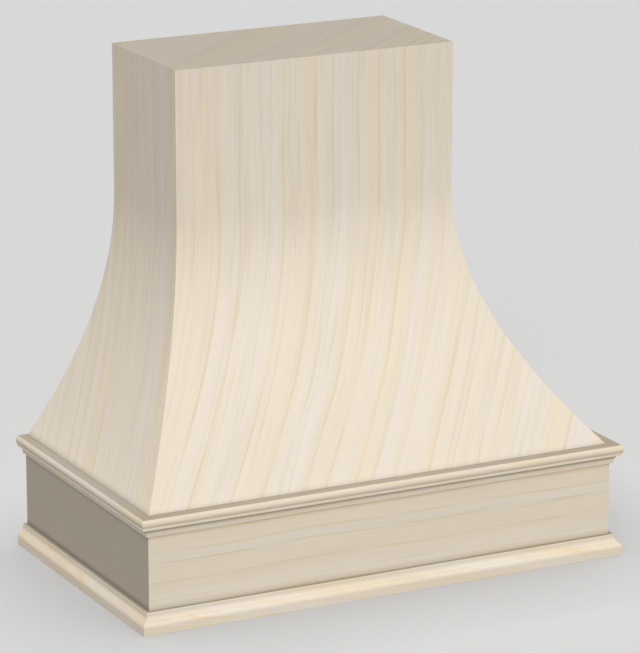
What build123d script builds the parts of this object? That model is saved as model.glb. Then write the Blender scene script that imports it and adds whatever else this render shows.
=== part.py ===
from build123d import *
import math
import os

# Wooden range hood cover for a wall: a flared chimney on a square apron, with a moulding at the
# apron's top and another round its foot.
# Millimetres. X runs to the right along the wall, Y points into the wall and Z points up.
# The origin is on the wall plane, midway along the cover, at its lower edge.

# Outside form
apron_width = 914.4  # across the faces of the two side aprons
apron_depth = 533.4  # wall to the face of the front apron
apron_height = 201.6  # lower edge to the foot of the flare
chimney_width = 548.5  # across the straight chimney
chimney_depth = 266.7  # wall to the front of the chimney
spring_height = 644.8  # where the straight chimney turns into the flare
overall_height = 914.4

# Boards and sheets
skin = 6.35  # bending plywood of the flared body and its top
apron_board = 19.05
rail_thickness = 19.05  # rails, ledgers and back rails
rail_height = 38.1  # rails round the spring line and under the top
hanging_rail_height = 88.9
apron_rail_height = 88.9  # back rail low down between the side aprons
deck_thickness = 19.05
deck_width = 70.0  # front and side boards of the deck
back_deck_width = 38.1
rib_thickness = 19.05
rib_top_width = 30.0  # of a rib under the spring line, measured level
rib_foot_width = 75.0  # of a rib on the deck, measured level
front_rib_spacing = 177.8
post = 30.0  # square posts in the corners of the chimney
block = 28.0  # square blocks in the corners of the apron
ledger_height = 19.05
ledger_recess = 12.7  # lower edge of the apron to the underside of the ledgers
glue_line = 0.2  # between a bent sheet and the ribs behind it

# Moulding at the apron's top
upper_height = 34.3
upper_overlap = 28.3  # how far it covers the apron below the foot of the flare
upper_projection = 19.05
upper_foot_width = 5.5
upper_lip_width = 6.1
upper_lip_height = 5.0
upper_cove = 10.4
upper_fillet_height = 5.3
upper_bead_start = 17.1  # how far the bead's lower edge stands out
upper_nose_drop = 7.4  # top of the moulding to the bead's furthest point
upper_top_width = 15.3

# Moulding round the apron's foot
base_height = 38.1
base_projection = 19.05
base_nose_height = 14.0
base_ogee_height = 18.5
base_top_width = 8.3
base_easing = 0.6

# Screws and holes
stud_spacing = 406.4
wall_hole = 5.5  # diameter
pilot_hole = 3.0  # diameter, for the screws that hold a ventilator insert
insert_hole_spacing = 304.8  # front to back, between the pilot holes of one ledger
shank = 4.2  # diameter
screw_head = 8.2  # diameter
screw_head_depth = 2.3
screw_rim = 0.3  # the head's straight edge
screw_tip = 4.0
screw_drive = 2.6  # square recess
screw_drive_depth = 1.7
screw_clearance = 0.1
screw_sink = 0.3  # head below the face
frame_screw = 38.1  # length
ledger_screw = 31.75  # length
long_ledger_screw_count = 5
side_ledger_screw_count = 3
screw_edge = 60.0  # from the end of a ledger to its first screw

# What follows from the sizes above
apron_half = apron_width / 2
chimney_half = chimney_width / 2
inner_half = chimney_half - skin
inner_depth = chimney_depth - skin
flare_height = spring_height - apron_height
side_flare = apron_half - chimney_half
front_flare = apron_depth - chimney_depth
side_foot = skin * math.hypot(1, 2 * side_flare / flare_height)  # the sheet, cut level at its foot
front_foot = skin * math.hypot(1, 2 * front_flare / flare_height)
bay_half = apron_half - apron_board  # inside of the apron
bay_depth = apron_depth - apron_board
deck_bottom = apron_height - deck_thickness
underside = overall_height - skin  # of the top panel
hip_slope = front_flare / side_flare  # the hip, seen from above
hip_stretch = math.hypot(1, hip_slope)
far = apron_width + apron_depth  # past the whole cover

SIDE_SECTION = Plane.XZ
FRONT_SECTION = Plane(origin=(0, 0, 0), x_dir=(0, -1, 0), z_dir=(-1, 0, 0))


def mirrored(shape):
    """The same piece on the other side of the centreline."""
    return mirror(shape, about=Plane.YZ)


def board(x0, x1, y0, y1, z0, z1):
    """A square-edged board between its limits."""
    centre = ((x0 + x1) / 2, (y0 + y1) / 2, (z0 + z1) / 2)
    return Pos(*centre) * Box(x1 - x0, y1 - y0, z1 - z0)


def flare(top, foot):
    """The flare's line: upright at the spring line, then a parabola out to the foot."""
    middle = (spring_height + apron_height) / 2
    return Bezier((top, spring_height), (top, middle), (foot, apron_height))


# --- Bent sheets ---------------------------------------------------------------------------


def skin_section(depth, reach, foot):
    """A sheet seen on edge: bevelled at the top, straight, flared and cut level at its foot."""
    outer = flare(depth, reach)
    inner = flare(depth - skin, reach - foot)
    lines = outer + inner
    lines += Line((reach, apron_height), (reach - foot, apron_height))
    lines += Line((depth, spring_height), (depth, overall_height))
    lines += Line((depth, overall_height), (depth - skin, underside))
    lines += Line((depth - skin, underside), (depth - skin, spring_height))
    return make_face(lines)


def hip_line(depth):
    """How far from the centreline the right hip lies, at a depth in front of the wall."""
    return chimney_half + (depth - chimney_depth) / hip_slope


def front_wedge(half, depth, slope):
    """The space ahead of the two corner lines that pass the corners at a slope, seen from above."""
    apex = half * slope - depth
    plan = Polyline((0, apex), (far, apex - slope * far), (-far, apex - slope * far), close=True)
    return Pos(0, 0, -overall_height) * extrude(make_face(plan), 3 * overall_height, dir=(0, 0, 1))


def side_wedge(half, depth, slope):
    """The space to the right of the right corner line and of the centreline."""
    apex = half * slope - depth
    ahead = apex - slope * far
    plan = Polyline((0, apex), (far, ahead), (2 * far, ahead), (2 * far, far), (0, far), close=True)
    return Pos(0, 0, -overall_height) * extrude(make_face(plan), 3 * overall_height, dir=(0, 0, 1))


def side_panel():
    """The right side sheet, mitred to the front one along the hip."""
    section = SIDE_SECTION * skin_section(chimney_half, apron_half, side_foot)
    return extrude(section, far, dir=(0, -1, 0)) & side_wedge(chimney_half, chimney_depth, hip_slope)


def front_panel():
    """The front sheet, mitred along both hips."""
    section = FRONT_SECTION * skin_section(chimney_depth, apron_depth, front_foot)
    return extrude(section, far, both=True) & front_wedge(chimney_half, chimney_depth, hip_slope)


def top_panel():
    """The top sheet, bevelled to the sheets round it and square at the wall."""
    lower = Pos(0, -inner_depth / 2, underside) * Rectangle(2 * inner_half, inner_depth)
    upper = Pos(0, -chimney_depth / 2, overall_height) * Rectangle(chimney_width, chimney_depth)
    return loft([lower, upper], ruled=True)


# --- Apron and mouldings -------------------------------------------------------------------


def front_run(section, slope=1):
    """A section along the front apron, mitred at both corners."""
    run = extrude(FRONT_SECTION * (Pos(apron_depth, 0) * section), far, both=True)
    return run & front_wedge(apron_half, apron_depth, slope)


def side_run(section, slope=1):
    """A section along the right apron, mitred at the front corner and square at the wall."""
    run = extrude(SIDE_SECTION * (Pos(apron_half, 0) * section), far, dir=(0, -1, 0))
    return run & side_wedge(apron_half, apron_depth, slope)


def apron_section():
    """The apron board on edge, its face at zero."""
    return Pos(-apron_board / 2, apron_height / 2) * Rectangle(apron_board, apron_height)


def upper_section():
    """Foot, lip, cove, fillet and bead of the moulding at the apron's top."""
    bottom = apron_height - upper_overlap
    top = bottom + upper_height
    lip = bottom + upper_lip_height
    cove_end = (upper_lip_width + upper_cove, lip + upper_cove)
    bead_foot = lip + upper_cove + upper_fillet_height
    bead_start = (upper_bead_start, bead_foot)
    nose = (upper_projection, top - upper_nose_drop)
    lines = Polyline((0, bottom), (upper_foot_width, bottom), (upper_lip_width, lip))
    lines += RadiusArc((upper_lip_width, lip), cove_end, upper_cove)
    lines += Polyline(cove_end, (cove_end[0], bead_foot), bead_start)
    lines += TangentArc(nose, bead_start, tangent=(0, -1))
    lines += TangentArc(nose, (upper_top_width, top), tangent=(0, 1))
    lines += Polyline((upper_top_width, top), (0, top), (0, bottom))
    return make_face(lines)


def backing(spread_out):
    """The moulding's back above the sheet's foot, bevelled to lie against the flare."""
    top = apron_height - upper_overlap + upper_height
    left_to_climb = (spring_height - top) / flare_height
    reach = spread_out * (1 - left_to_climb**2)
    return make_face(Polyline((0, apron_height), (0, top), (-reach, top), close=True))


def front_upper_moulding():
    """The front moulding at the apron's top, its bevelled back mitred along the hips."""
    return front_run(upper_section()) + front_run(backing(front_flare), hip_slope)


def side_upper_moulding():
    """The right moulding at the apron's top, its bevelled back mitred along the hip."""
    return side_run(upper_section()) + side_run(backing(side_flare), hip_slope)


def base_section():
    """Nose, ogee and fillet of the moulding round the apron's foot."""
    swing = (base_projection - base_top_width) / 2
    turn = (base_projection - swing, base_nose_height + base_ogee_height / 2)
    ogee_top = (base_top_width, base_nose_height + base_ogee_height)
    lines = Polyline((0, 0), (base_projection, 0), (base_projection, base_nose_height))
    lines += TangentArc((base_projection, base_nose_height), turn, tangent=(0, 1))
    lines += TangentArc(ogee_top, turn, tangent=(0, -1))
    eased = (base_top_width, base_height - base_easing)
    lines += Line(ogee_top, eased)
    lines += Polyline(eased, (base_top_width - base_easing, base_height), (0, base_height), (0, 0))
    return make_face(lines)


# --- Frame behind the sheets ---------------------------------------------------------------


def rib_section(depth, reach, foot):
    """A rib seen from its side: its outer edge follows the sheet, its inner edge widens downwards."""
    outer = flare(depth - skin - glue_line, reach - foot - glue_line)
    inner = flare(depth - skin - rib_top_width, reach - foot - rib_foot_width)
    lines = outer + inner
    lines += Line(outer @ 0, inner @ 0)
    lines += Line(outer @ 1, inner @ 1)
    return make_face(lines)


def side_rib(y):
    """A rib behind the right side sheet, centred at y."""
    section = SIDE_SECTION * rib_section(chimney_half, apron_half, side_foot)
    return Pos(0, y, 0) * extrude(section, rib_thickness / 2, both=True)


def front_rib(x):
    """A rib behind the front sheet, centred at x."""
    section = FRONT_SECTION * rib_section(chimney_depth, apron_depth, front_foot)
    return Pos(x, 0, 0) * extrude(section, rib_thickness / 2, both=True)


def core(plane, depth, reach, foot):
    """The space inside the sheets of one direction, with the glue line left free."""
    edge = flare(depth - skin - glue_line, reach - foot - glue_line)
    lines = edge + Polyline(edge @ 1, (-far, apron_height), (-far, spring_height), edge @ 0)
    return extrude(plane * make_face(lines), far, both=True)


def hip_rib():
    """The right hip's rib, backed off to lie against both sheets."""
    outward = (1 / hip_stretch, -hip_slope / hip_stretch, 0)
    across = (-hip_slope / hip_stretch, -1 / hip_stretch, 0)
    plane = Plane(origin=(chimney_half, -chimney_depth, 0), x_dir=outward, z_dir=across)
    edge = flare(
        -(skin + rib_top_width) * hip_stretch, (side_flare - side_foot - rib_foot_width) * hip_stretch
    )
    lines = edge + Polyline(edge @ 1, (far, apron_height), (far, spring_height), edge @ 0)
    plank = extrude(plane * make_face(lines), rib_thickness / 2, both=True)
    inside = plank & core(SIDE_SECTION, chimney_half, apron_half, side_foot)
    return inside & core(FRONT_SECTION, chimney_depth, apron_depth, front_foot)


def front_rail(z):
    """A rail between the two front posts, with its lower edge at z."""
    half = inner_half - post
    return board(-half, half, -inner_depth, rail_thickness - inner_depth, z, z + rail_height)


def side_rail(z):
    """A rail between the two posts on the right, with its lower edge at z."""
    inner = inner_half - rail_thickness
    return board(inner, inner_half, post - inner_depth, -rail_thickness - post, z, z + rail_height)


def back_rail(half, z, height):
    """A rail on the wall plane."""
    return board(-half, half, -rail_thickness, 0, z, z + height)


def chimney_post(y):
    """A right-hand post with its front face at y."""
    return board(inner_half - post, inner_half, y, y + post, spring_height, underside)


# --- Screws --------------------------------------------------------------------------------


def screw_body(length, clearance=0, mouth=0):
    """A countersunk screw with its head's face at the origin, or with clearance and a mouth its hole."""
    head = screw_head / 2 + clearance
    neck = shank / 2 + clearance
    outline = Polyline(
        (0, mouth),
        (head, mouth),
        (head, -screw_rim - clearance),
        (neck, -screw_head_depth - clearance),
        (neck, screw_tip - length),
        (0, -length - clearance),
        close=True,
    )
    return revolve(Plane.XZ * make_face(outline), Axis.Z)


def screw(length):
    """A countersunk wood screw with a square drive."""
    drive = Pos(0, 0, -screw_drive_depth / 2) * Box(screw_drive, screw_drive, screw_drive_depth)
    return screw_body(length) - drive


def sunk(x, y, z, outward):
    """Where a screw goes: its head just under a face at x, y, z that looks outward."""
    away = Vector(*outward)
    return Plane(origin=Vector(x, y, z) - away * screw_sink, z_dir=away).location


def screws(places, length):
    """The screws of one length, each a solid of its own."""
    return Compound([place * screw(length).solid() for place in places])


def drilled(piece, places, length):
    """The piece with a hole for every screw that reaches it."""
    hole = screw_body(length, screw_clearance, 2 * screw_sink)
    for place in places:
        tool = place * hole
        if piece.bounding_box().overlaps(tool.bounding_box()):
            piece = piece - tool
    return piece


def bored(piece, x, y, z, axis, diameter):
    """The piece with a straight hole right through it along an axis."""
    return piece - Plane(origin=(x, y, z), z_dir=axis).location * Cylinder(diameter / 2, far)


def spread(low, high, count):
    """Places from low to high, evenly apart."""
    return [low + (high - low) * i / (count - 1) for i in range(count)]


def mirrored_places(places):
    """The places of screws on the right, and their images on the left."""
    images = [(-x, y, z, (-outward[0], outward[1], outward[2])) for x, y, z, outward in places]
    return [sunk(*place) for place in places + images]


# --- Where the screws and holes lie --------------------------------------------------------

foot_line = bay_depth - deck_width / 2  # the middle of the front deck board
side_foot_line = bay_half - deck_width / 2
side_rib_depth = chimney_depth / 2
UP, DOWN, BACK, AHEAD, INWARD = (0, 0, 1), (0, 0, -1), (0, 1, 0), (0, -1, 0), (-1, 0, 0)

rib_places = mirrored_places(
    [
        (front_rib_spacing, -foot_line, deck_bottom, DOWN),
        (hip_line(foot_line), -foot_line, deck_bottom, DOWN),
        (side_foot_line, -side_rib_depth, deck_bottom, DOWN),
        (side_foot_line, -rib_thickness / 2, deck_bottom, DOWN),
    ]
)
rib_places.append(sunk(0, -foot_line, deck_bottom, DOWN))

hanging_middle = underside - hanging_rail_height / 2
post_line = inner_half - post / 2
rail_places = mirrored_places(
    [
        (post_line, 0, hanging_middle - hanging_rail_height / 4, BACK),
        (post_line, 0, hanging_middle + hanging_rail_height / 4, BACK),
        (post_line, 0, spring_height + rail_height / 2, BACK),
    ]
)

ledger_top = ledger_recess + ledger_height
ledger_middle = ledger_recess + ledger_height / 2
ledger_front = bay_depth - rail_thickness
ledger_back = 2 * rail_thickness
ledger_places = [
    sunk(x, -y, ledger_middle, outward)
    for x in spread(screw_edge - bay_half, bay_half - screw_edge, long_ledger_screw_count)
    for y, outward in ((ledger_front, BACK), (ledger_back, AHEAD))
]
ledger_places += mirrored_places(
    [
        (bay_half - rail_thickness, -y, ledger_middle, INWARD)
        for y in spread(ledger_back + screw_edge, ledger_front - screw_edge, side_ledger_screw_count)
    ]
)

block_low = ledger_top + block
block_high = deck_bottom - block
block_places = mirrored_places(
    [
        (bay_half - block, block / 2 - bay_depth, block_low, INWARD),
        (bay_half - block, block / 2 - bay_depth, block_high, INWARD),
        (bay_half - block, -rail_thickness - block / 2, block_low - block / 2, INWARD),
        (bay_half - block, -rail_thickness - block / 2, block_high, INWARD),
        (bay_half - block / 2, block - bay_depth, block_low - block / 2, BACK),
        (bay_half - block / 2, block - bay_depth, block_high + block / 2, BACK),
        (bay_half - block / 2, -rail_thickness - block, block_low, AHEAD),
    ]
)

wall_hole_low = (ledger_top + apron_rail_height) / 2
wall_hole_high = hanging_middle


# --- The pieces ----------------------------------------------------------------------------


def with_wall_holes(rail, z):
    """A back rail with the two holes for the screws into the wall's studs."""
    for x in (-stud_spacing / 2, stud_spacing / 2):
        rail = bored(rail, x, 0, z, BACK, wall_hole)
    return rail


def side_ledger():
    """The right ledger, with pilot holes for a ventilator insert."""
    ledger = board(
        bay_half - rail_thickness, bay_half, -ledger_front, -ledger_back, ledger_recess, ledger_top
    )
    middle = (ledger_front + ledger_back) / 2
    for y in (middle - insert_hole_spacing / 2, middle + insert_hole_spacing / 2):
        ledger = bored(ledger, bay_half - rail_thickness / 2, -y, ledger_middle, UP, pilot_hole)
    return drilled(ledger, ledger_places, ledger_screw)


def level_ledger(y0, y1):
    """The front or the back ledger, between its limits in depth."""
    ledger = board(-bay_half, bay_half, y0, y1, ledger_recess, ledger_top)
    return drilled(ledger, ledger_places, ledger_screw)


def corner_block(y):
    """A right-hand block in the apron's corner, with its front face at y."""
    blank = board(bay_half - block, bay_half, y, y + block, ledger_top, deck_bottom)
    return drilled(blank, block_places, frame_screw)


def deck(x0, x1, y0, y1):
    """A board of the deck that closes the apron's top round the flue."""
    return drilled(board(x0, x1, y0, y1, deck_bottom, apron_height), rib_places, frame_screw)


def apron_piece(piece):
    """An apron board with the holes for the screws that end in it."""
    return drilled(drilled(piece, ledger_places, ledger_screw), block_places, frame_screw)


side_pieces = {
    "side_panel": side_panel(),
    "apron": apron_piece(side_run(apron_section())),
    "upper_moulding": side_upper_moulding(),
    "base_moulding": side_run(base_section()),
    "hip_rib": drilled(hip_rib(), rib_places, frame_screw),
    "side_rib": drilled(side_rib(-side_rib_depth), rib_places, frame_screw),
    "rear_rib": drilled(side_rib(-rib_thickness / 2), rib_places, frame_screw),
    "front_rib": drilled(front_rib(front_rib_spacing), rib_places, frame_screw),
    "front_post": chimney_post(-inner_depth),
    "rear_post": drilled(chimney_post(-rail_thickness - post), rail_places, frame_screw),
    "spring_rail": side_rail(spring_height),
    "top_rail": side_rail(underside - rail_height),
    "deck_board": deck(bay_half - deck_width, bay_half, deck_width - bay_depth, -back_deck_width),
    "front_corner_block": corner_block(-bay_depth),
    "rear_corner_block": corner_block(-rail_thickness - block),
    "ledger": side_ledger(),
}

apron_rail = with_wall_holes(back_rail(bay_half, 0, apron_rail_height), wall_hole_low)
hanging_rail = back_rail(inner_half, underside - hanging_rail_height, hanging_rail_height)
back_spring_rail = back_rail(inner_half, spring_height, rail_height)

pieces = {
    "front_panel": front_panel(),
    "top_panel": top_panel(),
    "front_apron": apron_piece(front_run(apron_section())),
    "front_upper_moulding": front_upper_moulding(),
    "front_base_moulding": front_run(base_section()),
    "centre_rib": drilled(front_rib(0), rib_places, frame_screw),
    "front_spring_rail": front_rail(spring_height),
    "front_top_rail": front_rail(underside - rail_height),
    "back_spring_rail": drilled(back_spring_rail, rail_places, frame_screw),
    "hanging_rail": drilled(with_wall_holes(hanging_rail, wall_hole_high), rail_places, frame_screw),
    "apron_back_rail": apron_piece(apron_rail),
    "front_deck_board": deck(-bay_half, bay_half, -bay_depth, deck_width - bay_depth),
    "back_deck_board": deck(-bay_half, bay_half, -back_deck_width, 0),
    "front_ledger": level_ledger(-bay_depth, -ledger_front),
    "back_ledger": level_ledger(-ledger_back, -rail_thickness),
    "rib_screws": screws(rib_places, frame_screw),
    "rail_screws": screws(rail_places, frame_screw),
    "block_screws": screws(block_places, frame_screw),
    "ledger_screws": screws(ledger_places, ledger_screw),
}
for name, piece in side_pieces.items():
    pieces["right_" + name] = piece
    pieces["left_" + name] = mirrored(piece)

os.makedirs("parts", exist_ok=True)
for name, piece in pieces.items():
    export_step(piece, f"parts/{name}.step")
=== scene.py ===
"""Looks of a wooden range hood cover: a flared chimney on a square apron with two mouldings.

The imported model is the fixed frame. Each of its pieces is rebuilt or eased here as a finished
mesh in the same place and dressed in a procedural finish. Lengths are in millimetres until a mesh
is placed, X runs to the right along the wall, Y points into the wall and Z points up.
"""

import logging
import math
import re
from dataclasses import dataclass, replace
from enum import Enum

import bmesh
import bpy
import numpy as np
from mathutils import Euler, Matrix, Vector


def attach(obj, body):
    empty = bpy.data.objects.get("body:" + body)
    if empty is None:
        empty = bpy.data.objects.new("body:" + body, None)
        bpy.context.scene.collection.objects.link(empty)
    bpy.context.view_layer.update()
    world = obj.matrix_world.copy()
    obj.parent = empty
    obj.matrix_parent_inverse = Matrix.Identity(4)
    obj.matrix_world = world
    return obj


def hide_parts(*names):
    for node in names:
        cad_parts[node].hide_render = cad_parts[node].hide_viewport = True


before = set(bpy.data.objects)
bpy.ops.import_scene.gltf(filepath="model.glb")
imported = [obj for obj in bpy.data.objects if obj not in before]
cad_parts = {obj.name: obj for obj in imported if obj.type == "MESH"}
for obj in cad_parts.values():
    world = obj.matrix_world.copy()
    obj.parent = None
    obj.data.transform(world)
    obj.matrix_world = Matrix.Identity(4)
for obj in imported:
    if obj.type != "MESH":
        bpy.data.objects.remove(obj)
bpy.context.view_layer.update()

Tree, Node, Socket = bpy.types.NodeTree, bpy.types.Node, bpy.types.NodeSocket
Mesh, Material, Object = bpy.types.Mesh, bpy.types.Material, bpy.types.Object

LOG = logging.getLogger("range_hood_cover")
BODY = "root"
MM = 0.001
DOUBLES = 0.005 * MM  # points of the frame's loose triangles that are this near are one point
SMOOTH_BELOW = 30.0  # faces that meet at fewer degrees than this are one curve
AO_SAMPLES = 8  # rays at each point that look for inner corners, for painted shade
IMAGE_WIDTH, IMAGE_HEIGHT = 640, 653
UP = Vector((0, 0, 1))

# The kinds of node that come up most. A MAP takes a value, the two ends of its range and those of
# the result's, which are 0 and 1 where they aren't given. Noise lies mostly between 0.3 and 0.7, so
# a range within that makes its pattern crisper.
MATH, MAP, MIX = "ShaderNodeMath", "ShaderNodeMapRange", "ShaderNodeMix"
NOISE, SPLIT, JOIN = "ShaderNodeTexNoise", "ShaderNodeSeparateXYZ", "ShaderNodeCombineXYZ"
# What each sign in a written sum does.
OPERATIONS = {
    "+": "ADD", "-": "SUBTRACT", "*": "MULTIPLY", "/": "DIVIDE", "**": "POWER",
    "min": "MINIMUM", "max": "MAXIMUM",
}


class Way(Enum):
    """A direction that wood fibres or growth rings can take."""

    RIGHT = (1.0, 0.0, 0.0)
    BACK = (0.0, 1.0, 0.0)
    UP = (0.0, 0.0, 1.0)


class Side(Enum):
    """A side of the cover: the way it faces and the way its runs go, so that up completes them."""

    FRONT = ((0, -1, 0), (-1, 0, 0))
    RIGHT = ((1, 0, 0), (0, -1, 0))
    LEFT = ((-1, 0, 0), (0, 1, 0))


# --- Small tools -----------------------------------------------------------------------------


def linear(code: str) -> tuple[float, float, float, float]:
    """Turn a hex sRGB colour to linear light.

    Args:
        code: the colour as six hex digits after a #.

    Returns:
        Red, green, blue and an alpha of one.
    """
    shares = [int(code[i : i + 2], 16) / 255 for i in (1, 3, 5)]
    red, green, blue = [s / 12.92 if s <= 0.04045 else ((s + 0.055) / 1.055) ** 2.4 for s in shares]
    return red, green, blue, 1.0


def add(tree: Tree, kind: str, inputs: dict | tuple = (), **settings) -> Node:
    """Add a node to a tree with its settings, values and links.

    Args:
        tree: the tree that gets the node.
        kind: the node's type.
        inputs: what its inputs take, in order or by name or number: a value, another node's
            output, or another node for its first output.
        **settings: the node's own properties.

    Returns:
        The new node.
    """
    node = tree.nodes.new(kind)
    for name, value in settings.items():
        setattr(node, name, value)
    for key, value in inputs.items() if isinstance(inputs, dict) else enumerate(inputs):
        if isinstance(value, Node):
            value = value.outputs[0]
        if isinstance(value, Socket):
            tree.links.new(value, node.inputs[key])
        else:
            node.inputs[key].default_value = value
    return node


def new_material(name: str) -> tuple[Material, Tree]:
    """Make an empty node material.

    Args:
        name: the material's name.

    Returns:
        The material and its cleared tree.
    """
    material = bpy.data.materials.new(name)
    material.use_nodes = True
    material.node_tree.nodes.clear()
    return material, material.node_tree


def new_geometry_tree(name: str, sockets: dict[str, str]) -> tuple[Tree, Node]:
    """Make a Geometry Nodes tree with named inputs and one mesh output.

    Args:
        name: the tree's name.
        sockets: the kind of each input by its name.

    Returns:
        The tree and its group input node.
    """
    tree = bpy.data.node_groups.new(name, "GeometryNodeTree")
    tree.interface.new_socket("Geometry", in_out="OUTPUT", socket_type="NodeSocketGeometry")
    for label, kind in sockets.items():
        tree.interface.new_socket(label, in_out="INPUT", socket_type="NodeSocket" + kind)
    return tree, add(tree, "NodeGroupInput")


def close_tree(tree: Tree, shape: Node, material: Socket) -> None:
    """End a Geometry Nodes tree in Realize Instances and Set Material.

    Args:
        tree: the tree.
        shape: the node that gives the finished shape.
        material: the output that holds its material.
    """
    real = add(tree, "GeometryNodeRealizeInstances", {"Geometry": shape})
    dressed = add(tree, "GeometryNodeSetMaterial", {"Geometry": real, "Material": material})
    add(tree, "NodeGroupOutput", (dressed,))


def put(name: str, data: bpy.types.ID) -> Object:
    """Put a new object into the scene.

    Args:
        name: its name.
        data: its mesh, lamp or camera.

    Returns:
        The object.
    """
    thing = bpy.data.objects.new(name, data)
    bpy.context.scene.collection.objects.link(thing)
    return thing


def grow(name: str, tree: Tree, values: dict, base: Mesh | None = None) -> Mesh:
    """Run a Geometry Nodes tree once and keep its result as a plain mesh.

    Args:
        name: the mesh's name.
        tree: the tree.
        values: a value for each of the tree's inputs by name.
        base: the mesh that the tree starts from, or None where it makes its own.

    Returns:
        The mesh, free of the modifier that made it.
    """
    start = put(name + "_start", base or bpy.data.meshes.new(name + "_start"))
    modifier = start.modifiers.new(tree.name, "NODES")
    modifier.node_group = tree
    for item in tree.interface.items_tree:
        if item.in_out == "INPUT" and item.name in values:
            modifier[item.identifier] = values[item.name]
    seen = start.evaluated_get(bpy.context.evaluated_depsgraph_get())
    mesh = bpy.data.meshes.new_from_object(seen)
    mesh.name = name
    bpy.data.objects.remove(start)
    return mesh


def place(mesh: Mesh, axes: tuple[Vector, ...], start: tuple[float, ...] = (0, 0, 0)) -> None:
    """Place a mesh made in millimetres into the scene in metres.

    Args:
        mesh: the mesh.
        axes: where its own X, Y and Z point.
        start: where its own origin lies, in millimetres.
    """
    turn = Matrix(axes).transposed().to_4x4()
    mesh.transform(Matrix.Scale(MM, 4) @ Matrix.Translation(start) @ turn)


def shade(mesh: Mesh, smooth_below: float) -> None:
    """Shade a mesh smooth where its faces meet at less than an angle, in degrees."""
    mesh.shade_smooth()
    mesh.set_sharp_from_angle(angle=math.radians(smooth_below))


def close_up(mesh: Mesh, smooth_below: float = SMOOTH_BELOW) -> None:
    """Merge doubles, turn all faces outwards and shade curves smooth and arrises sharp.

    Args:
        mesh: the mesh, in metres.
        smooth_below: the largest angle, in degrees, that still counts as a curve.
    """
    work = bmesh.new()
    work.from_mesh(mesh)
    bmesh.ops.remove_doubles(work, verts=work.verts, dist=0.2 * DOUBLES)
    bmesh.ops.recalc_face_normals(work, faces=work.faces)
    work.to_mesh(mesh)
    work.free()
    shade(mesh, smooth_below)


def points_of(mesh: Mesh) -> np.ndarray:
    """Read a mesh's points.

    Args:
        mesh: the mesh, in metres.

    Returns:
        The points in millimetres, one row each.
    """
    flat = np.empty(3 * len(mesh.vertices))
    mesh.vertices.foreach_get("co", flat)
    return flat.reshape(-1, 3) / MM


def mark(mesh: Mesh, name: str, values: np.ndarray) -> None:
    """Keep a number or a vector for each point of a mesh, for its finish to read.

    Args:
        mesh: the mesh.
        name: the attribute's name.
        values: one number or one row of three for each point.
    """
    vectors = values.ndim == 2
    kind = "FLOAT_VECTOR" if vectors else "FLOAT"
    attribute = mesh.attributes.get(name) or mesh.attributes.new(name, kind, "POINT")
    attribute.data.foreach_set("vector" if vectors else "value", values.astype(np.float32).ravel())


def lay_grain(
    mesh: Mesh,
    fibres: Vector,
    rings: Vector,
    shift: tuple[float, ...] = (0, 0, 0),
    points: np.ndarray | None = None,
) -> None:
    """Lay a piece's grain: how far each point is along the fibres, across the rings and aside.

    Args:
        mesh: the mesh, in metres.
        fibres: the way the fibres run.
        rings: the way from one growth ring to the next, square to the fibres.
        shift: where in the tree the piece was cut, in millimetres, so that no two boards match.
        points: where the points of a bent sheet lay before it was bent.
    """
    grain_axes = np.array([fibres, rings, fibres.cross(rings)])
    flat = points_of(mesh) if points is None else points
    mark(mesh, "grain", flat @ grain_axes.T + np.array(shift))


# --- Finishes --------------------------------------------------------------------------------


@dataclass(frozen=True)
class Finish:
    """A finish: the name of its material and the record's slot that it fills."""

    name: str
    slot: str

    def surface(self, tree: Tree) -> Node:
        """Build the finish's shader in a material's tree: each kind of finish has its own."""
        raise NotImplementedError

    def material(self) -> Material:
        """Build the finish's material, or give it if it is there.

        Returns:
            The material.
        """
        material = bpy.data.materials.get(self.name)
        if not material:
            material, tree = new_material(self.name)
            add(tree, "ShaderNodeOutputMaterial", {"Surface": self.surface(tree)})
        return material


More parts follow.
